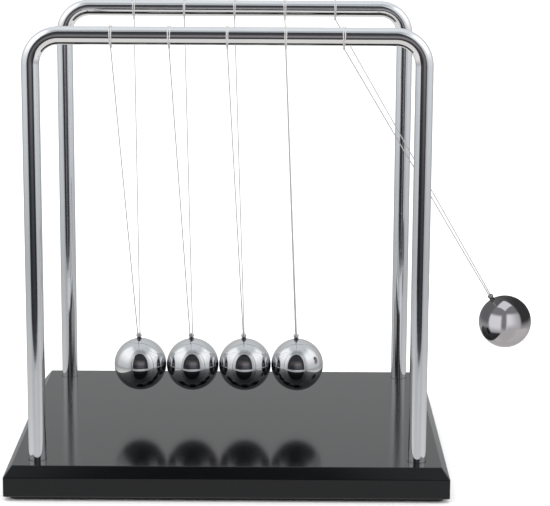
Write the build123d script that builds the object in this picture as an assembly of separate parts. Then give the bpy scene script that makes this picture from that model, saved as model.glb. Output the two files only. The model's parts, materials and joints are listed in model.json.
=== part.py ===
from build123d import *
import math
import os

# Newton's cradle: a bevelled board carries two bent rods, and five steel balls hang between
# the rods, each on its own V of nylon line.
# Millimetres. X runs along the row of balls, Y from the front rod to the rear rod, Z up.
# The origin is the middle of the underside that rests on the table.

# ---- driving dimensions -------------------------------------------------------------

# base board and the foam sheet under it
BASE_WIDTH = 175.0
BASE_DEPTH = 150.0
BOARD_THICKNESS = 12.0
BEVEL_WIDTH = 3.2
BEVEL_HEIGHT = 4.2
SHEET_THICKNESS = 1.5
SHEET_INSET = 2.0
SHEET_CORNER = 3.0

# bent rods
ROD_DIAMETER = 7.0
LEG_SPACING = 150.0
ROD_SPACING = 126.0
BAR_HEIGHT = 181.0
BEND_RADIUS = 11.0
ROD_SINK = 5.5

# screws that hold the rods from below, M4 with a pan head, and their washers
SCREW_DIAMETER = 4.0
SCREW_LENGTH = 12.0
HEAD_DIAMETER = 8.0
HEAD_HEIGHT = 3.1
HEAD_EDGE = 1.0
CROSS_LENGTH = 4.4
CROSS_WIDTH = 0.9
CROSS_DEPTH = 1.6
WASHER_DIAMETER = 9.0
WASHER_HOLE = 4.3
WASHER_THICKNESS = 0.8
COUNTERBORE_DIAMETER = 10.0
COUNTERBORE_DEPTH = 4.1
THROUGH_HOLE = 4.5
TAPPED_DEPTH = 10.0
FIT_GAP = 0.05

# balls and the eyes that stand on them: a round knob on a neck, a collar and a stem
BALL_COUNT = 5
BALL_DIAMETER = 22.0
BALL_GAP = 0.15
KNOB_DIAMETER = 2.3
KNOB_HEIGHT = 1.8
KNOB_ROUNDING = 0.8
KNOB_CENTRE = 1.55
EYE_HOLE = 0.9
NECK_DIAMETER = 1.1
COLLAR_DIAMETER = 2.1
COLLAR_HEIGHT = 0.6
COLLAR_ROUNDING = 0.2
STEM_DIAMETER = 1.6
STEM_LENGTH = 4.0
STEM_HOLE_SPARE = 0.5
EYE_SEAT = 0.03

# how far each eye's hole is turned from Y, clockwise from above, in degrees
EYE_TURNS = (13.0, 18.0, 6.0, 8.0, 10.0)

# nylon line, its two turns round the bar and the knot under them
LINE_DIAMETER = 0.45
TURN_OVERLAP = 0.02
WRAP_GAP = 0.02
KNOT_DIAMETER = 0.95
KNOT_LENGTH = 0.9
KNOT_ROUNDING = 0.2
KNOT_GAP = 0.05
LINE_START = 0.7
LINE_CORNER = 1.55
LINE_BEND = 0.8

# pose: every ball hangs PENDULUM below the pivot line through its two knots
PENDULUM = 140.7
LEAN = 2.4
RAISED = 30.45

# ---- worked-out places --------------------------------------------------------------

BOARD_BOTTOM = SHEET_THICKNESS
BOARD_TOP = SHEET_THICKNESS + BOARD_THICKNESS
ROD_END = BOARD_TOP - ROD_SINK
COUNTERBORE_TOP = BOARD_BOTTOM + COUNTERBORE_DEPTH
ROD_RADIUS = ROD_DIAMETER / 2
BALL_RADIUS = BALL_DIAMETER / 2
BALL_PITCH = BALL_DIAMETER + BALL_GAP
LINE_RADIUS = LINE_DIAMETER / 2
WRAP_RADIUS = ROD_RADIUS + WRAP_GAP + LINE_RADIUS
PIVOT_DROP = WRAP_RADIUS + LINE_RADIUS + KNOT_GAP + KNOT_DIAMETER / 2
PIVOT_HEIGHT = BAR_HEIGHT - PIVOT_DROP
SIDES = {"front": -ROD_SPACING / 2, "rear": ROD_SPACING / 2}
ENDS = {"left": -LEG_SPACING / 2, "right": LEG_SPACING / 2}
BALLS = range(1, BALL_COUNT + 1)


def pivot_x(number):
    """X of the pivot line of a ball, counted from the left."""
    return (number - (BALL_COUNT + 1) / 2) * BALL_PITCH


def swing_angle(number):
    """Angle of a ball from the vertical, to the right, with the last ball raised."""
    return RAISED if number == BALL_COUNT else LEAN


def swing_place(number):
    """Frame of a hanging ball: the origin on the pivot line, -Z along the pendulum."""
    return Pos(pivot_x(number), 0, PIVOT_HEIGHT) * Rot(0, -swing_angle(number), 0)


def upright(radius, bottom, height):
    """Cylinder on the Z axis from a bottom height."""
    return Pos(0, 0, bottom) * Cylinder(
        radius, height, align=(Align.CENTER, Align.CENTER, Align.MIN)
    )


def along_y(radius, length):
    """Cylinder on the Y axis, centred on the origin."""
    return Rot(90, 0, 0) * Cylinder(radius, length)


# ---- base ---------------------------------------------------------------------------

def make_base_board():
    """Board with a bevel round its top edge and a stepped hole under each leg."""
    lower_height = BOARD_THICKNESS - BEVEL_HEIGHT
    lower = Pos(0, 0, BOARD_BOTTOM + lower_height / 2) * Box(BASE_WIDTH, BASE_DEPTH, lower_height)
    foot = Plane.XY.offset(BOARD_BOTTOM + lower_height) * Rectangle(BASE_WIDTH, BASE_DEPTH)
    top = Plane.XY.offset(BOARD_TOP) * Rectangle(
        BASE_WIDTH - 2 * BEVEL_WIDTH, BASE_DEPTH - 2 * BEVEL_WIDTH
    )
    board = lower + loft([foot, top])
    socket = upright(ROD_RADIUS + FIT_GAP, ROD_END, ROD_SINK)
    through = upright(THROUGH_HOLE / 2, COUNTERBORE_TOP, ROD_END - COUNTERBORE_TOP)
    counterbore = upright(COUNTERBORE_DIAMETER / 2, BOARD_BOTTOM, COUNTERBORE_DEPTH)
    for y in SIDES.values():
        for x in ENDS.values():
            board -= Pos(x, y, 0) * socket
            board -= Pos(x, y, 0) * through
            board -= Pos(x, y, 0) * counterbore
    return board


def make_underside_sheet():
    """Foam sheet that covers the screws and rests on the table."""
    outline = RectangleRounded(
        BASE_WIDTH - 2 * SHEET_INSET, BASE_DEPTH - 2 * SHEET_INSET, SHEET_CORNER
    )
    return extrude(outline, SHEET_THICKNESS)


# ---- bent rods and their screws -----------------------------------------------------

def make_bent_rod():
    """Rod bent to an upside-down U in the XZ plane, tapped in both ends."""
    half = LEG_SPACING / 2
    path = FilletPolyline(
        (-half, 0, ROD_END),
        (-half, 0, BAR_HEIGHT),
        (half, 0, BAR_HEIGHT),
        (half, 0, ROD_END),
        radius=BEND_RADIUS,
    )
    section = Plane(origin=path @ 0, z_dir=path % 0) * Circle(ROD_RADIUS)
    rod = sweep(section, path=path)
    tapped = upright(SCREW_DIAMETER / 2 + FIT_GAP, ROD_END, TAPPED_DEPTH)
    for x in ENDS.values():
        rod -= Pos(x, 0, 0) * tapped
    return rod


def make_washer():
    """Flat washer against the top of the counterbore."""
    ring = Circle(WASHER_DIAMETER / 2) - Circle(WASHER_HOLE / 2)
    return Pos(0, 0, COUNTERBORE_TOP - WASHER_THICKNESS) * extrude(ring, WASHER_THICKNESS)


def make_screw():
    """Pan head screw pointing up, with a cross recess in its head."""
    head_top = COUNTERBORE_TOP - WASHER_THICKNESS
    head_bottom = head_top - HEAD_HEIGHT
    head = upright(HEAD_DIAMETER / 2, head_bottom, HEAD_HEIGHT)
    head = fillet(head.edges().filter_by(GeomType.CIRCLE).sort_by(Axis.Z)[0], HEAD_EDGE)
    for turn in (0, 90):
        slot = Box(CROSS_LENGTH, CROSS_WIDTH, CROSS_DEPTH)
        head -= Pos(0, 0, head_bottom + CROSS_DEPTH / 2) * Rot(0, 0, turn) * slot
    return head + upright(SCREW_DIAMETER / 2, head_top, SCREW_LENGTH)


# ---- balls and eyes -----------------------------------------------------------------

def make_ball():
    """Ball at the end of the pendulum, drilled from above for the stem of its eye."""
    stem_hole = upright(
        STEM_DIAMETER / 2 + FIT_GAP,
        BALL_RADIUS - STEM_LENGTH - STEM_HOLE_SPARE,
        STEM_LENGTH + STEM_HOLE_SPARE + 1,
    )
    return Pos(0, 0, -PENDULUM) * (Sphere(BALL_RADIUS) - stem_hole)


def make_eye(turn):
    """Turned eye: knob with a hole for the line, neck, collar on the ball and stem in it."""
    seat = BALL_RADIUS - EYE_SEAT
    middle = BALL_RADIUS + KNOB_CENTRE
    eye = upright(KNOB_DIAMETER / 2, middle - KNOB_HEIGHT / 2, KNOB_HEIGHT)
    eye = fillet(eye.edges().filter_by(GeomType.CIRCLE), KNOB_ROUNDING)
    eye += upright(NECK_DIAMETER / 2, seat, KNOB_CENTRE)
    collar = upright(COLLAR_DIAMETER / 2, seat, COLLAR_HEIGHT + EYE_SEAT)
    eye += fillet(collar.edges().filter_by(GeomType.CIRCLE).sort_by(Axis.Z)[-1], COLLAR_ROUNDING)
    eye += upright(STEM_DIAMETER / 2, seat - STEM_LENGTH, STEM_LENGTH)
    eye -= Pos(0, 0, middle) * Rot(0, 0, -turn) * along_y(EYE_HOLE / 2, 2 * KNOB_DIAMETER)
    return Pos(0, 0, -PENDULUM) * eye


# ---- nylon line ---------------------------------------------------------------------

def make_line(turn):
    """Line from one knot through the turned hole of the eye to the other knot, a V in space."""
    angle = math.radians(turn)
    apex = -PENDULUM + BALL_RADIUS + KNOB_CENTRE
    knot = Vector(0, ROD_SPACING / 2, 0)
    corner = Vector(LINE_CORNER * math.sin(angle), LINE_CORNER * math.cos(angle), apex)
    start = knot + (corner - knot).normalized() * LINE_START
    rear = [corner, start]
    front = [Vector(-p.X, -p.Y, p.Z) for p in (start, corner)]
    path = FilletPolyline(*front, *rear, radius=LINE_BEND)
    section = Plane(origin=path @ 0, z_dir=path % 0) * Circle(LINE_RADIUS)
    line = sweep(section, path=path)
    share = line.volume / (section.area * path.length)
    print(f"line {path.length:.2f} long, its volume {share:.4f} of section times length")
    return line


def make_wrap():
    """Two turns of the line side by side round the bar, about the X axis."""
    offset = LINE_RADIUS - TURN_OVERLAP / 2
    turns = Pos(-offset, WRAP_RADIUS) * Circle(LINE_RADIUS)
    turns += Pos(offset, WRAP_RADIUS) * Circle(LINE_RADIUS)
    return revolve(turns, Axis.X)


def make_knot():
    """Barrel-shaped knot round the pivot line."""
    knot = along_y(KNOT_DIAMETER / 2, KNOT_LENGTH)
    return fillet(knot.edges().filter_by(GeomType.CIRCLE), KNOT_ROUNDING)


# ---- assembly -----------------------------------------------------------------------

def place_stand(nodes):
    """Base, rods and their fasteners."""
    nodes["base_board"] = make_base_board()
    nodes["underside_sheet"] = make_underside_sheet()
    rod = make_bent_rod()
    screw = make_screw()
    washer = make_washer()
    for side, y in SIDES.items():
        nodes[f"{side}_rod"] = Pos(0, y, 0) * rod
        for end, x in ENDS.items():
            nodes[f"{side}_{end}_screw"] = Pos(x, y, 0) * screw
            nodes[f"{side}_{end}_washer"] = Pos(x, y, 0) * washer


def place_pendulums(nodes):
    """Balls, eyes, lines, knots and wraps, one set for each ball."""
    ball = make_ball()
    wrap = make_wrap()
    knot = make_knot()
    for number, turn in zip(BALLS, EYE_TURNS):
        swing = swing_place(number)
        nodes[f"ball_{number}"] = swing * ball
        nodes[f"eye_{number}"] = swing * make_eye(turn)
        nodes[f"line_{number}"] = swing * make_line(turn)
        for side, y in SIDES.items():
            nodes[f"{side}_wrap_{number}"] = Pos(pivot_x(number), y, BAR_HEIGHT) * wrap
            nodes[f"{side}_knot_{number}"] = Pos(pivot_x(number), y, PIVOT_HEIGHT) * knot


def main():
    os.makedirs("parts", exist_ok=True)
    nodes = {}
    place_stand(nodes)
    place_pendulums(nodes)
    for name, shape in nodes.items():
        shape.label = name
        export_step(shape, f"parts/{name}.step")
    print(f"{len(nodes)} nodes")
    print(f"pivot height {PIVOT_HEIGHT:.3f}, bend radii {BEND_RADIUS} {LINE_BEND}")


main()
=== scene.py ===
import json
import math
import bmesh
import bpy
from mathutils import Matrix, Vector


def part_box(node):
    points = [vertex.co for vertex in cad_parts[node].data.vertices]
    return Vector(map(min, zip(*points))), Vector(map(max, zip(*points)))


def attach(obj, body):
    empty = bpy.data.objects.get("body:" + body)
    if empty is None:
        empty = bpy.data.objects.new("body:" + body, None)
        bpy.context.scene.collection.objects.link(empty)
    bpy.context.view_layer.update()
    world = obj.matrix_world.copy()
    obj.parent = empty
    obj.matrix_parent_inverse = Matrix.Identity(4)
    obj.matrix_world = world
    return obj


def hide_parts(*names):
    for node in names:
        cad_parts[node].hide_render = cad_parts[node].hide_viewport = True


# Newton's cradle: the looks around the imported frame. Places come from the frame, in metres.
# Meshes are built in millimetres and scaled by MM when they are put in place.
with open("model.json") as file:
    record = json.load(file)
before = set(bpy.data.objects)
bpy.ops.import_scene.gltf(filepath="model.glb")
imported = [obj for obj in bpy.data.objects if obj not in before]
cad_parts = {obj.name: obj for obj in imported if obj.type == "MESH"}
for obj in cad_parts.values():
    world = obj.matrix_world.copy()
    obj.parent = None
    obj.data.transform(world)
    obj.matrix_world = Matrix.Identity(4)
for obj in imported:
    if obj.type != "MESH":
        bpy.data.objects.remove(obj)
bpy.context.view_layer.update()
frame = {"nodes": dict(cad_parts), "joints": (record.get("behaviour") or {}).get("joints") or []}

MM = 0.001
SIDES = ("front", "rear")
ENDS = ("left", "right")
BALLS = (1, 2, 3, 4, 5)

# ---- sizes of what is seen, in millimetres -------------------------------------------

ROD_DIAMETER = 7.0
BEND_RADIUS = 11.0
ROD_END_CHAMFER = 0.4
TAPPED_RADIUS = 2.05
TAPPED_DEPTH = 10.0

BEVEL_WIDTH = 3.2
BEVEL_HEIGHT = 4.2
BOARD_EDGE_ROUND = 0.45
BOARD_CORNER_ROUND = 0.5
SOCKET_RADIUS = 3.55
SOCKET_CHAMFER = 0.25
FOAM_CORNER_ROUND = 3.0
FOAM_EDGE_ROUND = 0.35

BALL_DIAMETER = 22.0
KNOB_RADIUS = 1.15
KNOB_HEIGHT = 1.8
KNOB_ROUND = 0.8
KNOB_CENTRE = 1.55
EYE_HOLE_RADIUS = 0.45
NECK_RADIUS = 0.55
COLLAR_RADIUS = 1.05
COLLAR_HEIGHT = 0.6
COLLAR_ROUND = 0.2
EYE_SEAT = 0.03
STEM_RADIUS = 0.8
STEM_LENGTH = 4.0
STEM_HOLE_RADIUS = 0.85
STEM_HOLE_DEPTH = 4.5

# how far the hole of each eye is turned from Y, clockwise from above, in degrees
EYE_TURNS = {1: 13.0, 2: 18.0, 3: 6.0, 4: 8.0, 5: 10.0}

LINE_RADIUS = 0.225
WRAP_GAP = 0.02
WRAP_RADIUS = ROD_DIAMETER / 2 + WRAP_GAP + LINE_RADIUS
LINE_START = 0.44
LINE_CORNER = 1.55
LINE_BEND = 0.8
KNOT_COIL_RADIUS = 0.24
KNOT_COIL_WIDTH = 0.44

# ---- places from the frame -----------------------------------------------------------

rod_low, rod_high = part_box("front_rod")
board_low, board_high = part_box("base_board")
foam_low, foam_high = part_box("underside_sheet")
PIVOTS = {j["child"]: Vector(j["pos_m"]) for j in frame["joints"]}
BAR_HEIGHT = rod_high.z / MM - ROD_DIAMETER / 2
LEG_X = rod_high.x / MM - ROD_DIAMETER / 2
ROD_FOOT = rod_low.z / MM
BOARD_TOP = board_high.z / MM


def side_y(side):
    """Y of a rod's centre, in millimetres."""
    low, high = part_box(f"{side}_rod")
    return (low.y + high.y) / 2 / MM


def pivot_of(number):
    """Pivot of a ball, in millimetres."""
    return PIVOTS[f"pendulum_{number}"] / MM


def ball_centre(number):
    """Centre of a ball, in millimetres."""
    low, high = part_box(f"ball_{number}")
    return (low + high) / 2 / MM


def hang_length(number):
    """Distance from the pivot line to the ball's centre, in millimetres."""
    return (ball_centre(number) - pivot_of(number)).length


def swing_frame(number):
    """Matrix from a pendulum's own frame, which hangs along -Z, to the row frame, in mm."""
    hang = ball_centre(number) - pivot_of(number)
    angle = math.atan2(hang.x, -hang.z)
    return Matrix.Translation(pivot_of(number)) @ Matrix.Rotation(-angle, 4, "Y")


# ---- mesh helpers --------------------------------------------------------------------

# edges bent more than these angles are sharp; the lengths below them are in millimetres
SHARP_ANGLE = math.radians(35)
TUBE_SHARP_ANGLE = math.radians(50)
MERGE_DISTANCE = 1e-5
SHORTEST_EDGE = 1e-6
AXIS_RADIUS = 1e-7


def new_object(name, data):
    """Object that holds a mesh, a camera or a lamp, linked to the scene."""
    obj = bpy.data.objects.new(name, data)
    bpy.context.scene.collection.objects.link(obj)
    return obj


def mesh_from_rings(name, rings, sharp=SHARP_ANGLE):
    """Skin over rings of points, each ring closed, with a flat face on both ends."""
    bm = bmesh.new()
    rows = [[bm.verts.new(point) for point in ring] for ring in rings]
    for row, after in zip(rows, rows[1:]):
        size = len(row)
        for k in range(size):
            corners = (row[k], row[(k + 1) % size], after[(k + 1) % size], after[k])
            bm.faces.new(corners)
    bm.faces.new(reversed(rows[0]))
    bm.faces.new(rows[-1])
    bmesh.ops.remove_doubles(bm, verts=bm.verts, dist=MERGE_DISTANCE)
    bmesh.ops.dissolve_degenerate(bm, dist=SHORTEST_EDGE, edges=bm.edges)
    bmesh.ops.recalc_face_normals(bm, faces=bm.faces)
    mesh = bpy.data.meshes.new(name)
    bm.to_mesh(mesh)
    bm.free()
    mesh.shade_smooth()
    mesh.set_sharp_from_angle(angle=sharp)
    return mesh


def lathe(name, profile, segments=48):
    """Solid turned round Z from (radius, height) points that start and end on the axis."""
    turns = [2 * math.pi * k / segments for k in range(segments)]
    rings = []
    for radius, height in profile:
        r = max(radius, AXIS_RADIUS)
        rings.append([(r * math.cos(a), r * math.sin(a), height) for a in turns])
    return mesh_from_rings(name, rings)


def arc_points(centre, radius, start, end, steps):
    """Points on an arc in a plane, angles in degrees."""
    cx, cy = centre
    angles = [math.radians(start + (end - start) * k / steps) for k in range(steps + 1)]
    return [(cx + radius * math.cos(a), cy + radius * math.sin(a)) for a in angles]


def path_frames(points):
    """Each point of a path with two normals, carried along it with the least twist."""
    steep = 0.9
    points = [Vector(p) for p in points]
    tangents = []
    for i in range(len(points)):
        before = points[max(i - 1, 0)]
        after = points[min(i + 1, len(points) - 1)]
        tangents.append((after - before).normalized())
    first = tangents[0]
    guide = Vector((0, 0, 1)) if abs(first.z) < steep else Vector((0, 1, 0))
    normal = first.cross(guide).normalized()
    frames = []
    for i, tangent in enumerate(tangents):
        if i:
            normal = tangents[i - 1].rotation_difference(tangent) @ normal
            normal = (normal - tangent * normal.dot(tangent)).normalized()
        frames.append((points[i], normal, tangent.cross(normal)))
    return frames


def tube(name, points, radius, sides):
    """Round tube along a path."""
    angles = [2 * math.pi * k / sides for k in range(sides)]
    rings = []
    for centre, u, v in path_frames(points):
        rings.append([centre + (u * math.cos(a) + v * math.sin(a)) * radius for a in angles])
    return mesh_from_rings(name, rings, sharp=TUBE_SHARP_ANGLE)


def cut(mesh, cutter):
    """The first mesh with the second one taken out of it."""
    body = new_object("body", mesh)
    tool = new_object("tool", cutter)
    step = body.modifiers.new("cut", "BOOLEAN")
    step.operation = "DIFFERENCE"
    step.solver = "EXACT"
    step.object = tool
    graph = bpy.context.evaluated_depsgraph_get()
    result = bpy.data.meshes.new_from_object(body.evaluated_get(graph))
    for obj in (body, tool):
        bpy.data.objects.remove(obj)
    result.shade_smooth()
    result.set_sharp_from_angle(angle=SHARP_ANGLE)
    return result


def place(node, mesh, matrix, body, material):
    """Puts a mesh made in mm where its CAD node is, on the node's body, in the node's stead."""
    mesh.transform(Matrix.Scale(MM, 4) @ matrix)
    mesh.name = f"{node}_visual"
    obj = new_object(f"{node}_visual", mesh)
    mesh.materials.clear()
    mesh.materials.append(material)
    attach(obj, body)
    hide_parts(node)
    return obj


# ---- node helpers --------------------------------------------------------------------

class Nodes:
    """Short ways to add and join shader nodes in one tree."""

    def __init__(self, tree):
        self.tree = tree
        tree.nodes.clear()

    def add(self, kind, **settings):
        node = self.tree.nodes.new(kind)
        for key, value in settings.items():
            setattr(node, key, value)
        return node

    def feed(self, socket, value):
        if isinstance(value, bpy.types.NodeSocket):
            self.tree.links.new(value, socket)
        else:
            socket.default_value = value

    def math(self, operation, a, b=None):
        node = self.add("ShaderNodeMath", operation=operation)
        self.feed(node.inputs[0], a)
        if b is not None:
            self.feed(node.inputs[1], b)
        return node.outputs[0]

    def step(self, value, low, high):
        """Smooth step from 0 at low to 1 at high; low may be the larger of the two."""
        node = self.add("ShaderNodeMapRange", interpolation_type="SMOOTHSTEP")
        self.feed(node.inputs["Value"], value)
        node.inputs["From Min"].default_value = low
        node.inputs["From Max"].default_value = high
        return node.outputs[0]

    def spread(self, value, low, high):
        """Value between 0 and 1 mapped to low and high."""
        node = self.add("ShaderNodeMapRange")
        self.feed(node.inputs["Value"], value)
        node.inputs["To Min"].default_value = low
        node.inputs["To Max"].default_value = high
        return node.outputs[0]

    def mix(self, share, a, b):
        """Colour mix."""
        node = self.add("ShaderNodeMix", data_type="RGBA")
        self.feed(node.inputs[0], share)
        self.feed(node.inputs[6], a)
        self.feed(node.inputs[7], b)
        return node.outputs[2]

    def ramp(self, value, stops):
        node = self.add("ShaderNodeValToRGB")
        self.feed(node.inputs[0], value)
        elements = node.color_ramp.elements
        while len(elements) < len(stops):
            elements.new(0.5)
        for element, (position, colour) in zip(elements, stops):
            element.position = position
            element.color = (*colour, 1)
        return node.outputs[0]

    def noise(self, scale, detail=2.0, rough=0.5):
        """Noise in the piece's own coordinates; scale is in features per metre."""
        coordinates = self.add("ShaderNodeTexCoord").outputs["Object"]
        node = self.add("ShaderNodeTexNoise")
        self.feed(node.inputs["Vector"], coordinates)
        node.inputs["Scale"].default_value = scale
        node.inputs["Detail"].default_value = detail
        node.inputs["Roughness"].default_value = rough
        return node.outputs["Fac"]

    def bump(self, height, strength, distance, normal=None):
        node = self.add("ShaderNodeBump")
        node.inputs["Strength"].default_value = strength
        node.inputs["Distance"].default_value = distance
        self.feed(node.inputs["Height"], height)
        if normal is not None:
            self.feed(node.inputs["Normal"], normal)
        return node.outputs[0]


def surface(name, **constants):
    """Material with a Principled shader whose plain values are set on its own sockets."""
    material = bpy.data.materials.new(name)
    material.use_nodes = True
    nodes = Nodes(material.node_tree)
    shader = nodes.add("ShaderNodeBsdfPrincipled")
    output = nodes.add("ShaderNodeOutputMaterial")
    nodes.feed(output.inputs["Surface"], shader.outputs[0])
    for key, value in constants.items():
        shader.inputs[key.replace("_", " ")].default_value = value
    return material, nodes, shader


# ---- materials -----------------------------------------------------------------------

def polished_metal(name, dark, light, smooth, dull, wave):
    """Bright metal whose colour and gloss drift a little, with polishing marks and faint waves."""
    material, nodes, shader = surface(name, Metallic=1.0)
    drift = nodes.noise(90, detail=3)
    nodes.feed(shader.inputs["Base Color"], nodes.mix(drift, (*dark, 1), (*light, 1)))
    haze = nodes.noise(420, detail=4, rough=0.65)
    nodes.feed(shader.inputs["Roughness"], nodes.spread(haze, smooth, dull))
    waves = nodes.bump(nodes.noise(160, detail=1), wave, 0.0002)
    marks = nodes.noise(3000, detail=2)
    nodes.feed(shader.inputs["Normal"], nodes.bump(marks, 0.02, 0.00002, waves))
    return material


def eye_metal():
    """Turned steel: the knob is polished; the collar and the neck under it are painted dark, a
    painted shade where the eye meets the ball.
    """
    material, nodes, shader = surface("eye_metal", Metallic=1.0)
    clear_of_painted_shade = nodes.add("ShaderNodeAttribute", attribute_name="clear_of_painted_shade").outputs["Fac"]
    drift = nodes.noise(700, detail=3)
    # the dark colour is painted shade on the collar and neck where the eye meets the ball, not a
    # finish of the steel
    dark = nodes.mix(drift, (0.10, 0.10, 0.104, 1), (0.18, 0.18, 0.186, 1))
    bright = nodes.mix(drift, (0.50, 0.50, 0.51, 1), (0.60, 0.60, 0.61, 1))
    nodes.feed(shader.inputs["Base Color"], nodes.mix(clear_of_painted_shade, dark, bright))
    haze = nodes.noise(1500, detail=3)
    nodes.feed(shader.inputs["Roughness"], nodes.spread(haze, 0.06, 0.12))
    marks = nodes.noise(5000, detail=2)
    nodes.feed(shader.inputs["Normal"], nodes.bump(marks, 0.03, 0.00002))
    return material


def board_lacquer():
    """Black satin lacquer: near-black, with faint orange peel and a gloss that drifts."""
    material, nodes, shader = surface("board_lacquer", IOR=1.47)
    drift = nodes.noise(40, detail=3)
    colour = nodes.mix(drift, (0.0016, 0.0020, 0.0024, 1), (0.0028, 0.0034, 0.0040, 1))
    nodes.feed(shader.inputs["Base Color"], colour)
    haze = nodes.noise(260, detail=5, rough=0.6)
    nodes.feed(shader.inputs["Roughness"], nodes.spread(haze, 0.11, 0.15))
    peel = nodes.bump(nodes.noise(650, detail=1), 0.05, 0.00003)
    nodes.feed(shader.inputs["Normal"], peel)
    return material


def foam():
    """Matt black closed-cell foam with fine pores."""
    material, nodes, shader = surface("foam", IOR=1.3)
    pores = nodes.add("ShaderNodeTexVoronoi")
    nodes.feed(pores.inputs["Vector"], nodes.add("ShaderNodeTexCoord").outputs["Object"])
    pores.inputs["Scale"].default_value = 1800
    cells = pores.outputs["Distance"]
    colour = nodes.ramp(cells, ((0.0, (0.006, 0.006, 0.007)), (0.7, (0.020, 0.020, 0.022))))
    nodes.feed(shader.inputs["Base Color"], colour)
    haze = nodes.noise(500, detail=4)
    nodes.feed(shader.inputs["Roughness"], nodes.spread(haze, 0.75, 0.95))
    nodes.feed(shader.inputs["Normal"], nodes.bump(cells, 0.5, 0.0001))
    return material


def zinc(name, scale):
    """Zinc-plated steel, slightly dull, with a faint blue and yellow cast."""
    material, nodes, shader = surface(name, Metallic=1.0)
    cast = nodes.noise(scale, detail=3)
    colour = nodes.ramp(cast, (
        (0.3, (0.48, 0.50, 0.55)),
        (0.55, (0.56, 0.56, 0.57)),
        (0.75, (0.60, 0.57, 0.50)),
    ))
    nodes.feed(shader.inputs["Base Color"], colour)
    haze = nodes.noise(1500, detail=4)
    nodes.feed(shader.inputs["Roughness"], nodes.spread(haze, 0.28, 0.45))
    marks = nodes.noise(4000, detail=3)
    nodes.feed(shader.inputs["Normal"], nodes.bump(marks, 0.15, 0.00003))
    return material


def nylon(name, clearness):
    """Nylon monofilament with a milky core and faint draw marks, whiter where it is less clear."""
    material, nodes, shader = surface(name, IOR=1.53, Transmission_Weight=clearness)
    milk = nodes.noise(150, detail=2)
    colour = nodes.mix(milk, (0.82, 0.81, 0.81, 1), (0.92, 0.915, 0.915, 1))
    nodes.feed(shader.inputs["Base Color"], colour)
    haze = nodes.noise(900, detail=2)
    nodes.feed(shader.inputs["Roughness"], nodes.spread(haze, 0.15, 0.3))
    marks = nodes.noise(2500, detail=2)
    nodes.feed(shader.inputs["Normal"], nodes.bump(marks, 0.08, 0.00002))
    return material


CHROME = polished_metal(
    "rod_chrome", dark=(0.80, 0.81, 0.83), light=(0.87, 0.88, 0.89),
    smooth=0.05, dull=0.11, wave=0.05,
)
BALL_STEEL = polished_metal(
    "ball_steel", dark=(0.58, 0.59, 0.60), light=(0.65, 0.655, 0.665),
    smooth=0.035, dull=0.07, wave=0.02,
)
EYE_METAL = eye_metal()
LACQUER = board_lacquer()
FOAM = foam()
SCREW_ZINC = zinc("screw_zinc", 300)
WASHER_ZINC = zinc("washer_zinc", 220)
NYLON = nylon("nylon", clearness=0.82)
WOUND_NYLON = nylon("wound_nylon", clearness=0.55)


# ---- base ----------------------------------------------------------------------------

def rounded_rectangle(half_x, half_y, corner, z):
    """Ring of points round a rectangle with round corners."""
    steps = 5
    ring = []
    for sx, sy, start in ((1, 1, 0), (-1, 1, 90), (-1, -1, 180), (1, -1, 270)):
        centre = (sx * (half_x - corner), sy * (half_y - corner))
        ring += [(x, y, z) for x, y in arc_points(centre, corner, start, start + 90, steps)]
    return ring


def rounded_corner(before, corner, after, radius):
    """Arc that rounds one corner of a profile, with a holding point just off each end."""
    steps = 4
    hold = 0.06
    before, corner, after = (Vector(p) for p in (before, corner, after))
    back = (before - corner).normalized()
    ahead = (after - corner).normalized()
    half = back.angle(ahead) / 2
    reach = radius / math.tan(half)
    centre = corner + (back + ahead).normalized() * (radius / math.sin(half))
    first = corner + back * reach
    last = corner + ahead * reach
    spoke = first - centre
    sweep = spoke.angle_signed(last - centre)
    arc = []
    for k in range(steps + 1):
        turn = -sweep * k / steps
        x = spoke.x * math.cos(turn) - spoke.y * math.sin(turn)
        y = spoke.x * math.sin(turn) + spoke.y * math.cos(turn)
        arc.append((centre.x + x, centre.y + y))
    return [tuple(first + back * hold), *arc, tuple(last + ahead * hold)]


def slab(name, half_x, half_y, corner_round, corners, edge_round):
    """Solid whose edge follows a profile of (inset, height) corners, each one rounded."""
    inside = half_x / 2
    outline = [(inside, corners[0][1]), *corners, (inside, corners[-1][1])]
    profile = []
    for before, corner, after in zip(outline, outline[1:], outline[2:]):
        profile += rounded_corner(before, corner, after, edge_round)
    rings = [
        rounded_rectangle(half_x - inset, half_y - inset, corner_round, height)
        for inset, height in profile
    ]
    return mesh_from_rings(name, rings)


def make_board():
    """Lacquered board: bevelled top, softly rounded edges and a chamfered socket for each leg."""
    half_x = board_high.x / MM
    half_y = board_high.y / MM
    bottom = board_low.z / MM
    corners = [(0, bottom), (0, BOARD_TOP - BEVEL_HEIGHT), (BEVEL_WIDTH, BOARD_TOP)]
    mesh = slab("board", half_x, half_y, BOARD_CORNER_ROUND, corners, BOARD_EDGE_ROUND)
    spare = 1
    socket = [
        (0, ROD_FOOT),
        (SOCKET_RADIUS, ROD_FOOT),
        (SOCKET_RADIUS, BOARD_TOP - SOCKET_CHAMFER),
        (SOCKET_RADIUS + SOCKET_CHAMFER + spare, BOARD_TOP + spare),
        (0, BOARD_TOP + spare),
    ]
    for side in SIDES:
        for direction in (-1, 1):
            cutter = lathe("socket", socket)
            cutter.transform(Matrix.Translation((direction * LEG_X, side_y(side), 0)))
            mesh = cut(mesh, cutter)
    place("base_board", mesh, Matrix.Identity(4), "stand", LACQUER)


def make_foam():
    """Foam sheet under the board, its cut edge rounded over."""
    half_x = foam_high.x / MM
    half_y = foam_high.y / MM
    corners = [(0, foam_low.z / MM), (0, foam_high.z / MM)]
    mesh = slab("foam", half_x, half_y, FOAM_CORNER_ROUND, corners, FOAM_EDGE_ROUND)
    sheet = place("underside_sheet", mesh, Matrix.Identity(4), "stand", FOAM)


# ---- rods ----------------------------------------------------------------------------

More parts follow.
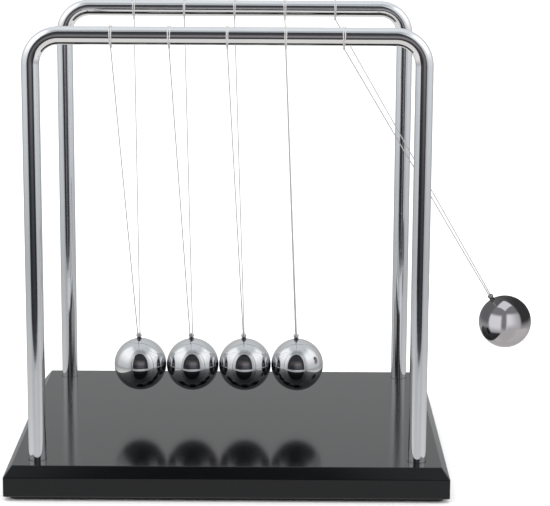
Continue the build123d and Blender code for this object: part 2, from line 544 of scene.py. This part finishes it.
def rod_path():
    """Centre line of a bent rod in the XZ plane, from the left foot to the right foot."""
    reach = LEG_X - BEND_RADIUS
    height = BAR_HEIGHT - BEND_RADIUS
    hold = 0.4
    steps = 32
    left = arc_points((-reach, height), BEND_RADIUS, 180, 90, steps)
    right = arc_points((reach, height), BEND_RADIUS, 90, 0, steps)
    line = [(-LEG_X, ROD_FOOT), (-LEG_X, height - hold), *left, (-reach + hold, BAR_HEIGHT)]
    line += [(reach - hold, BAR_HEIGHT), *right, (LEG_X, height - hold), (LEG_X, ROD_FOOT)]
    return [(x, 0, z) for x, z in line]


def level_ring(x, z, radius, angles):
    """Level ring of points round the axis of a leg."""
    return [Vector((x + radius * math.cos(a), radius * math.sin(a), z)) for a in angles]


def make_rod(side):
    """Bent rod with chamfered ends and a tapped hole in each."""
    radius = ROD_DIAMETER / 2
    sides = 64
    angles = [2 * math.pi * k / sides for k in range(sides)]
    # height and radius of each ring of a foot, from the bottom of its hole out to the rod
    centre_radius = 0.001
    foot = (
        (TAPPED_DEPTH, centre_radius),
        (TAPPED_DEPTH, TAPPED_RADIUS),
        (0, TAPPED_RADIUS),
        (0, radius - ROD_END_CHAMFER),
        (ROD_END_CHAMFER, radius),
    )
    rings = [level_ring(-LEG_X, ROD_FOOT + z, r, angles) for z, r in foot]
    middle = path_frames(rod_path())[1:-1]
    _, first_u, first_v = middle[0]
    offset = math.atan2(first_u.y, first_u.x)
    sense = 1 if first_v.cross(first_u).z < 0 else -1
    turned = [sense * (a - offset) for a in angles]
    for centre, u, v in middle:
        rings.append([centre + (u * math.cos(b) + v * math.sin(b)) * radius for b in turned])
    # the right foot goes on from the angle and the way round that the last ring has
    seam, following = rings[-1][:2]
    axis = Vector((LEG_X, 0, 0))
    spin = math.atan2(seam.y, seam.x - LEG_X)
    way = 1 if (seam - axis).cross(following - axis).z > 0 else -1
    carried = [spin + way * a for a in angles]
    rings += [level_ring(LEG_X, ROD_FOOT + z, r, carried) for z, r in reversed(foot)]
    mesh = mesh_from_rings("rod", rings)
    shift = Matrix.Translation((0, side_y(side), 0))
    place(f"{side}_rod", mesh, shift, "stand", CHROME)


# ---- balls and eyes ------------------------------------------------------------------

def make_ball(number):
    """Polished ball with the small drilled and chamfered hole for its eye."""
    radius = BALL_DIAMETER / 2
    chamfer = 0.1
    steps = 120
    rim = math.degrees(math.acos((STEM_HOLE_RADIUS + chamfer) / radius))
    profile = arc_points((0, 0), radius, -90, rim, steps)
    top = math.sqrt(radius ** 2 - (STEM_HOLE_RADIUS + chamfer) ** 2)
    profile += [
        (STEM_HOLE_RADIUS, top - chamfer),
        (STEM_HOLE_RADIUS, radius - STEM_HOLE_DEPTH),
        (0, radius - STEM_HOLE_DEPTH),
    ]
    mesh = lathe("ball", profile, segments=144)
    seat = swing_frame(number) @ Matrix.Translation((0, 0, -hang_length(number)))
    place(f"ball_{number}", mesh, seat, f"pendulum_{number}", BALL_STEEL)


def make_eye(number):
    """Turned eye: a knob with a flared cross hole on a neck, a collar, and a stem in the ball."""
    radius = BALL_DIAMETER / 2
    foot = radius - EYE_SEAT
    stem_end = foot - STEM_LENGTH
    chamfer = 0.15
    middle = radius + KNOB_CENTRE
    collar_top = radius + COLLAR_HEIGHT
    half_flat = KNOB_HEIGHT / 2 - KNOB_ROUND
    knob_edge = KNOB_RADIUS - KNOB_ROUND
    collar_edge = (COLLAR_RADIUS - COLLAR_ROUND, collar_top - COLLAR_ROUND)
    profile = [
        (0, stem_end),
        (STEM_RADIUS - chamfer, stem_end),
        (STEM_RADIUS, stem_end + chamfer),
        (STEM_RADIUS, foot),
        (COLLAR_RADIUS, foot),
        *arc_points(collar_edge, COLLAR_ROUND, start=0, end=90, steps=6),
        (NECK_RADIUS, collar_top),
        *arc_points((knob_edge, middle - half_flat), KNOB_ROUND, start=-75, end=0, steps=12),
        *arc_points((knob_edge, middle + half_flat), KNOB_ROUND, start=0, end=90, steps=14),
        (0, middle + KNOB_HEIGHT / 2),
    ]
    mesh = lathe("eye", profile, segments=64)
    flare = 0.16
    spare = 0.5
    wide = EYE_HOLE_RADIUS + flare + spare
    bore = [
        (0, -KNOB_RADIUS - spare),
        (wide, -KNOB_RADIUS - spare),
        (EYE_HOLE_RADIUS, -KNOB_RADIUS + flare),
        (EYE_HOLE_RADIUS, KNOB_RADIUS - flare),
        (wide, KNOB_RADIUS + spare),
        (0, KNOB_RADIUS + spare),
    ]
    cutter = lathe("bore", bore, segments=40)
    turn = Matrix.Rotation(math.radians(-EYE_TURNS[number]), 4, "Z")
    lie_down = Matrix.Rotation(math.radians(90), 4, "X")
    cutter.transform(Matrix.Translation((0, 0, middle)) @ turn @ lie_down)
    mesh = cut(mesh, cutter)
    # 1 on the knob, 0 on the collar and neck, which take the painted shade where the eye meets the
    # ball
    fade = 0.15
    clear_of_painted_shade = mesh.attributes.new("clear_of_painted_shade", "FLOAT", "POINT")
    for vertex, value in zip(mesh.vertices, clear_of_painted_shade.data):
        value.value = min(1.0, max(0.0, (vertex.co.z - collar_top) / fade))
    seat = swing_frame(number) @ Matrix.Translation((0, 0, -hang_length(number)))
    place(f"eye_{number}", mesh, seat, f"pendulum_{number}", EYE_METAL)


# ---- nylon line ----------------------------------------------------------------------

def make_line(number):
    """Nylon line: a tight V from the front knot through the turned eye to the rear knot."""
    turn = math.radians(EYE_TURNS[number])
    apex = -hang_length(number) + BALL_DIAMETER / 2 + KNOB_CENTRE
    knot = Vector((0, side_y("rear"), 0))
    eye = Vector((0, 0, apex))
    through = Vector((math.sin(turn), math.cos(turn), 0))
    corner = eye + through * LINE_CORNER
    run = (corner - knot).normalized()
    reach = LINE_BEND * math.tan(run.angle(-through) / 2)
    first = corner - run * reach
    last = corner - through * reach
    steps = 10
    arc = []
    for k in range(1, steps):
        share = k / steps
        arc.append(first.lerp(corner, share).lerp(corner.lerp(last, share), share))
    start = knot + run * LINE_START
    pieces = 8
    straight = [start.lerp(first, k / pieces) for k in range(pieces)]
    half = [*straight, first, *arc, last]
    other = [Vector((-p.x, -p.y, p.z)) for p in reversed(half)]
    mesh = tube("line", half + other, LINE_RADIUS, sides=14)
    place(f"line_{number}", mesh, swing_frame(number), f"pendulum_{number}", NYLON)


def make_knot(number, side):
    """Knot under a bar: the line wound round the pivot line a good two and a half times."""
    turns = 2.6
    steps = 60
    start = math.radians(70)
    points = []
    for k in range(steps + 1):
        share = k / steps
        angle = 2 * math.pi * turns * share + start
        across = (share - 0.5) * KNOT_COIL_WIDTH
        x = KNOT_COIL_RADIUS * math.cos(angle)
        z = KNOT_COIL_RADIUS * math.sin(angle)
        points.append((x, across, z))
    mesh = tube("knot", points, LINE_RADIUS, sides=12)
    seat = swing_frame(number) @ Matrix.Translation((0, side_y(side), 0))
    body = f"pendulum_{number}"
    place(f"{side}_knot_{number}", mesh, seat, body, WOUND_NYLON)


def make_wrap(number, side):
    """Two turns of the line round a bar: apart on top of it and together at the knot under it."""
    turns = 2
    steps = 160
    dive_angle = 0.5
    crossing_angle = 0.3
    closest = 0.235
    closing = 0.4
    pivot = pivot_of(number)
    outward = -1 if side == "front" else 1
    # what the turns stand apart by, on top of the bar, beyond closest: one of three amounts
    looseness = 0.03 + 0.1 * ((number + (side == "rear")) % 3)
    points = []
    for k in range(steps + 1):
        angle = 2 * math.pi * turns * k / steps
        apart = closest + looseness * math.sin(angle / 2) ** 2
        crossing = math.tanh((angle - 2 * math.pi) / crossing_angle)
        near_end = max(0.0, 1 - min(angle, 2 * math.pi * turns - angle) / dive_angle)
        radius = WRAP_RADIUS + (BAR_HEIGHT - pivot.z - WRAP_RADIUS) * near_end ** 2
        points.append((
            apart * crossing * (1 - closing * near_end),
            outward * radius * math.sin(angle),
            -radius * math.cos(angle),
        ))
    mesh = tube("wrap", points, LINE_RADIUS, sides=12)
    shift = Matrix.Translation((pivot.x, side_y(side), BAR_HEIGHT))
    place(f"{side}_wrap_{number}", mesh, shift, "stand", WOUND_NYLON)


# ---- fasteners, kept from the frame --------------------------------------------------

def finish_fasteners():
    """Gives the hidden screws and washers their plating."""
    for side in SIDES:
        for end in ENDS:
            for part, material in (("screw", SCREW_ZINC), ("washer", WASHER_ZINC)):
                mesh = frame["nodes"][f"{side}_{end}_{part}"].data
                mesh.materials.clear()
                mesh.materials.append(material)


# ---- studio --------------------------------------------------------------------------

def make_camera():
    """Camera a little above the bar, in front and slightly right of the middle."""
    spot = Vector((19.49, -828.72, 255.75)) * MM
    turn = 0.0013
    tilt = -0.2042
    roll = 0.0052
    level = Vector((math.cos(turn), math.sin(turn), 0))
    ahead = Vector((
        -math.sin(turn) * math.cos(tilt),
        math.cos(turn) * math.cos(tilt),
        math.sin(tilt),
    ))
    above = level.cross(ahead)
    right = level * math.cos(roll) + above * math.sin(roll)
    up = above * math.cos(roll) - level * math.sin(roll)
    data = bpy.data.cameras.new("camera")
    data.sensor_width = 36
    data.lens = 132.1
    data.clip_start = 0.01
    data.clip_end = 50
    camera = new_object("camera", data)
    axes = Matrix((right, up, -ahead)).transposed().to_4x4()
    camera.matrix_world = Matrix.Translation(spot) @ axes
    bpy.context.scene.camera = camera


def make_floor():
    """Plain pale floor just under the sheet. Reflections see the light tent's floor instead."""
    half = 4.0
    drop = 0.0002
    mesh = bpy.data.meshes.new("floor")
    corners = [(-half, -half, 0), (half, -half, 0), (half, half, 0), (-half, half, 0)]
    mesh.from_pydata(corners, [], [(0, 1, 2, 3)])
    floor = new_object("floor", mesh)
    floor.location.z = -drop
    floor.visible_glossy = False
    floor.visible_transmission = False
    material, nodes, shader = surface("floor", Roughness=0.9)
    grain = nodes.noise(3, detail=2)
    colour = nodes.mix(grain, (0.86, 0.86, 0.86, 1), (0.88, 0.88, 0.88, 1))
    nodes.feed(shader.inputs["Base Color"], colour)
    mesh.materials.append(material)


def direction_parts(nodes, vector):
    """Azimuth (0 to the front, + to the right) and height in degrees, then X and Y."""
    apart = nodes.add("ShaderNodeSeparateXYZ")
    nodes.feed(apart.inputs[0], vector)
    x, y, z = apart.outputs
    degrees = 180 / math.pi
    bearing = nodes.math("ARCTAN2", x, nodes.math("MULTIPLY", y, -1))
    azimuth = nodes.math("MULTIPLY", bearing, degrees)
    height = nodes.math("MULTIPLY", nodes.math("ARCSINE", z), degrees)
    return azimuth, height, x, y


def height_ramp(nodes, height, stops):
    """Colour by height; each stop gives a height in degrees, a brightness and a tint to blue."""
    share = nodes.math("DIVIDE", nodes.math("ADD", height, 90), 180)
    return nodes.ramp(share, [
        ((degrees + 90) / 180, (level * (1 - tint), level, level * (1 + tint)))
        for degrees, level, tint in stops
    ])


def window(nodes, value, low, high, soft):
    """1 between low and high and 0 outside, with both edges blurred over the width soft."""
    rise = nodes.step(value, low - soft / 2, low + soft / 2)
    fall = nodes.step(value, high - soft / 2, high + soft / 2)
    return nodes.math("MULTIPLY", rise, nodes.math("SUBTRACT", 1.0, fall))


def make_tent():
    """White surroundings. Reflections see the walls, ceiling and floor of a light tent."""
    world = bpy.data.worlds.new("studio")
    bpy.context.scene.world = world
    world.use_nodes = True
    nodes = Nodes(world.node_tree)
    direction = nodes.add("ShaderNodeTexCoord").outputs["Generated"]
    azimuth, height, sideways, _ = direction_parts(nodes, direction)
    # the bright band of the walls reaches higher up on the left than on the right
    lean = nodes.math("MULTIPLY", sideways, 9.0)
    lean = nodes.math("MULTIPLY", lean, nodes.step(height, 20.0, 55.0))
    leaning = nodes.math("ADD", height, lean)

    ends = height_ramp(nodes, height, (
        (-90, 0.74, -0.03), (-24, 0.76, -0.03), (-17, 0.56, 0.02), (-12, 0.42, 0.02),
        (-5, 0.52, 0.02), (2, 0.60, 0.01), (17, 0.65, 0.01), (40, 0.80, 0.02),
        (60, 0.86, 0.04), (90, 0.88, 0.05),
    ))
    walls = height_ramp(nodes, leaning, (
        (-90, 0.80, -0.03), (-24, 0.88, -0.03), (-17, 0.66, 0), (-12, 0.50, 0.02),
        (-6, 0.76, 0.03), (4, 0.82, 0.01), (16, 1.12, 0), (32, 1.46, 0.01),
        (52, 1.42, 0.02), (66, 0.80, 0.04), (90, 0.88, 0.05),
    ))
    aside = window(nodes, nodes.math("ABSOLUTE", azimuth), low=47.0, high=116.0, soft=24.0)
    tent = nodes.mix(aside, ends, walls)

    ahead = window(nodes, azimuth, low=-48.0, high=48.0, soft=30.0)
    raised = window(nodes, height, low=50.0, high=78.0, soft=16.0)
    above_opening = nodes.math("MULTIPLY", ahead, raised)
    tent = nodes.mix(above_opening, tent, (0.49, 0.51, 0.52, 1))

    ahead = window(nodes, azimuth, low=-10.0, high=22.0, soft=20.0)
    level = window(nodes, height, low=-9.0, high=20.0, soft=18.0)
    haze = nodes.math("MULTIPLY", ahead, level)
    tent = nodes.mix(haze, tent, (1.9, 1.85, 1.95, 1))

    rays = nodes.add("ShaderNodeLightPath").outputs
    light = nodes.mix(rays["Is Transmission Ray"], tent, (0.33, 0.325, 0.325, 1))
    light = nodes.mix(rays["Is Diffuse Ray"], light, (1.7, 1.7, 1.7, 1))
    light = nodes.mix(rays["Is Camera Ray"], light, (1.15, 1.15, 1.15, 1))
    background = nodes.add("ShaderNodeBackground")
    nodes.feed(background.inputs["Color"], light)
    output = nodes.add("ShaderNodeOutputWorld")
    nodes.feed(output.inputs["Surface"], background.outputs[0])


def only_in_reflections(obj):
    """Stage piece that metal and lacquer mirror, unseen otherwise and without a shadow."""
    obj.visible_camera = False
    obj.visible_diffuse = False
    obj.visible_transmission = False
    obj.visible_shadow = False


def make_tent_opening():
    """Dark round-topped opening of the light tent, in front, that the camera looks in through."""
    middle = -0.045
    half_width = 0.335
    top = 0.75
    foot = -0.045
    distance = 0.44
    roundness = 3
    steps = 48
    rises = [math.sin(math.pi / 2 * k / steps) for k in range(steps + 1)]
    right_edge = [
        (half_width * math.sqrt(1 - rise ** roundness), foot + (top - foot) * rise)
        for rise in rises
    ]
    left_edge = [(-x, z) for x, z in reversed(right_edge[:-1])]
    corners = [(middle + x, -distance, z) for x, z in right_edge + left_edge]
    mesh = bpy.data.meshes.new("tent_opening")
    mesh.from_pydata(corners, [], [tuple(range(len(corners)))])
    opening = new_object("tent_opening", mesh)
    material = bpy.data.materials.new("tent_opening")
    material.use_nodes = True
    nodes = Nodes(material.node_tree)
    veil = nodes.add("ShaderNodeBsdfTransparent")
    shade = nodes.noise(4, detail=1)
    edge = nodes.mix(shade, (0.045, 0.048, 0.054, 1), (0.075, 0.076, 0.082, 1))
    apart = nodes.add("ShaderNodeSeparateXYZ")
    nodes.feed(apart.inputs[0], nodes.add("ShaderNodeTexCoord").outputs["Generated"])
    across, _, up = apart.outputs
    between = window(nodes, across, low=0.2, high=0.8, soft=0.3)
    low_down = window(nodes, up, low=0.18, high=0.40, soft=0.14)
    inside = nodes.math("MULTIPLY", between, low_down)
    nodes.feed(veil.inputs["Color"], nodes.mix(inside, edge, (0.135, 0.128, 0.125, 1)))
    output = nodes.add("ShaderNodeOutputMaterial")
    nodes.feed(output.inputs["Surface"], veil.outputs[0])
    mesh.materials.append(material)
    only_in_reflections(opening)


def make_hood():
    """Small dark hood over the raised ball with three lit windows, which the ball mirrors."""
    radius = 19.0
    half_circle = arc_points((0, 0), radius, start=-90, end=90, steps=48)
    mesh = lathe("hood", half_circle, segments=96)
    mesh.transform(Matrix.Scale(MM, 4))
    hood = new_object("hood", mesh)
    hood.location = ball_centre(5) * MM
    material = bpy.data.materials.new("hood")
    material.use_nodes = True
    nodes = Nodes(material.node_tree)
    away = nodes.add("ShaderNodeVectorMath", operation="NORMALIZE")
    nodes.feed(away.inputs[0], nodes.add("ShaderNodeTexCoord").outputs["Object"])
    azimuth, height, x, y = direction_parts(nodes, away.outputs[0])

    front = window(nodes, azimuth, low=-60.0, high=46.0, soft=18.0)
    rim = nodes.step(x, -0.7, 0.6)
    rim = nodes.mix(rim, (0.17, 0.165, 0.17, 1), (0.05, 0.048, 0.05, 1))
    light = nodes.mix(front, rim, (0.27, 0.26, 0.27, 1))

    across = window(nodes, azimuth, low=-61.0, high=-18.0, soft=9.0)
    along = window(nodes, height, low=-19.0, high=29.0, soft=12.0)
    left = nodes.math("MULTIPLY", across, along)
    light = nodes.mix(left, light, (0.98, 0.95, 0.98, 1))

    fading = nodes.step(azimuth, 4.0, 48.0)
    fading = nodes.mix(fading, (1.02, 0.99, 1.02, 1), (0.54, 0.52, 0.54, 1))
    across = window(nodes, azimuth, low=-1.0, high=48.0, soft=9.0)
    along = window(nodes, height, low=-60.0, high=35.0, soft=12.0)
    right = nodes.math("MULTIPLY", across, along)
    light = nodes.mix(right, light, fading)

    # the top window is a diamond a little in front of the hood's top
    across = nodes.math("ABSOLUTE", nodes.math("ADD", x, 0.08))
    across = nodes.math("DIVIDE", across, 0.38)
    along = nodes.math("ABSOLUTE", nodes.math("ADD", y, 0.34))
    along = nodes.math("DIVIDE", along, 0.35)
    outside = nodes.step(nodes.math("ADD", across, along), 0.85, 1.12)
    top = nodes.math("SUBTRACT", 1.0, outside)
    light = nodes.mix(top, light, (0.92, 0.89, 0.92, 1))

    # a pale skirt that clears towards its foot; it starts lower down at the front left
    skirt = nodes.mix(front, (0.40, 0.39, 0.40, 1), (0.60, 0.58, 0.60, 1))
    front_left = window(nodes, azimuth, low=-58.0, high=1.0, soft=10.0)
    lowered = nodes.math("ADD", height, nodes.math("MULTIPLY", front_left, 13.0))
    light = nodes.mix(nodes.step(lowered, 10.0, -12.0), light, skirt)
    glow = nodes.add("ShaderNodeEmission")
    nodes.feed(glow.inputs["Color"], light)
    veil = nodes.add("ShaderNodeBsdfTransparent")
    veil.inputs["Color"].default_value = (0.76, 0.74, 0.76, 1)
    blend = nodes.add("ShaderNodeMixShader")
    nodes.feed(blend.inputs[0], nodes.step(lowered, -7.0, -17.0))
    nodes.feed(blend.inputs[1], glow.outputs[0])
    nodes.feed(blend.inputs[2], veil.outputs[0])
    output = nodes.add("ShaderNodeOutputMaterial")
    nodes.feed(output.inputs["Surface"], blend.outputs[0])
    mesh.materials.append(material)
    only_in_reflections(hood)


def make_lamp():
    """One large soft lamp overhead, which nothing mirrors."""
    lamp = bpy.data.lights.new("soft_top", "AREA")
    lamp.shape = "DISK"
    lamp.size = 1.2
    lamp.energy = 3.0
    light = new_object("soft_top", lamp)
    light.location = (-0.25, -0.35, 1.4)
    light.rotation_euler = light.location.to_track_quat("Z", "Y").to_euler()
    light.visible_glossy = False


# ---- build ---------------------------------------------------------------------------

make_camera()
make_board()
make_foam()
for side in SIDES:
    make_rod(side)
for number in BALLS:
    make_ball(number)
    make_eye(number)
    make_line(number)
    for side in SIDES:
        make_knot(number, side)
        make_wrap(number, side)
finish_fasteners()
make_floor()
make_tent()
make_tent_opening()
make_hood()
make_lamp()
bpy.context.scene.view_settings.view_transform = "Standard"
